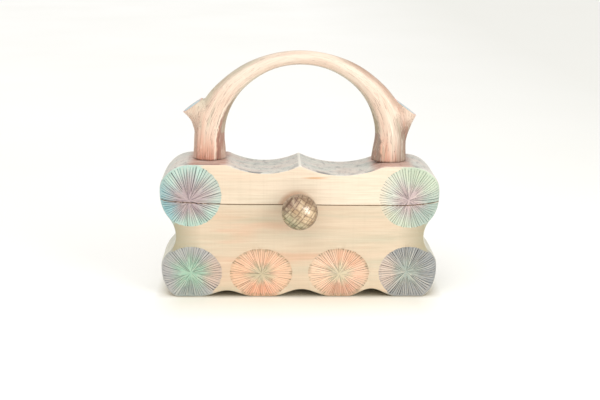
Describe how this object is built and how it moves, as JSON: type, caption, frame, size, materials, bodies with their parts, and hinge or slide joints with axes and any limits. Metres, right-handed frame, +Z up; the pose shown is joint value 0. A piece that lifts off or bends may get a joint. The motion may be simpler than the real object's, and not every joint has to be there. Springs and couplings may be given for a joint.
{
  "type": "wooden handbag",
  "caption": "Carved wooden box handbag with a hinged lid, an arched branch handle and a ball clasp.",
  "frame": {"origin": "on the surface the bag stands on, in the middle of the whole bag's box", "axes": "+X to the bag's right as seen from the front, +Y from the front to the back, +Z up"},
  "size_m": [0.2398, 0.0856, 0.2096],
  "materials": {
    "painted_wood": "matt colour wash on carved wood",
    "limb_wood": "satin colour wash on a carved limb",
    "ball_wood": "varnished",
    "plain_wood": "bare",
    "hinge_brass": "satin"
  },
  "bodies": {
    "box": {"base": "painted_wood", "hinge_leaf_base_left": "hinge_brass", "hinge_leaf_base_right": "hinge_brass"},
    "cover": {"lid": "painted_wood", "handle": "limb_wood", "clasp_ball": "ball_wood", "clasp_post": "plain_wood", "hinge_leaf_lid_left": "hinge_brass", "hinge_leaf_lid_right": "hinge_brass"}
  },
  "joints": [
    {"name": "lid_hinge", "type": "hinge", "parent": "box", "child": "cover", "pos_m": [0, 0.04045, 0.0824], "axis": [-1, 0, 0], "range_deg": [0, 100]}
  ]
}
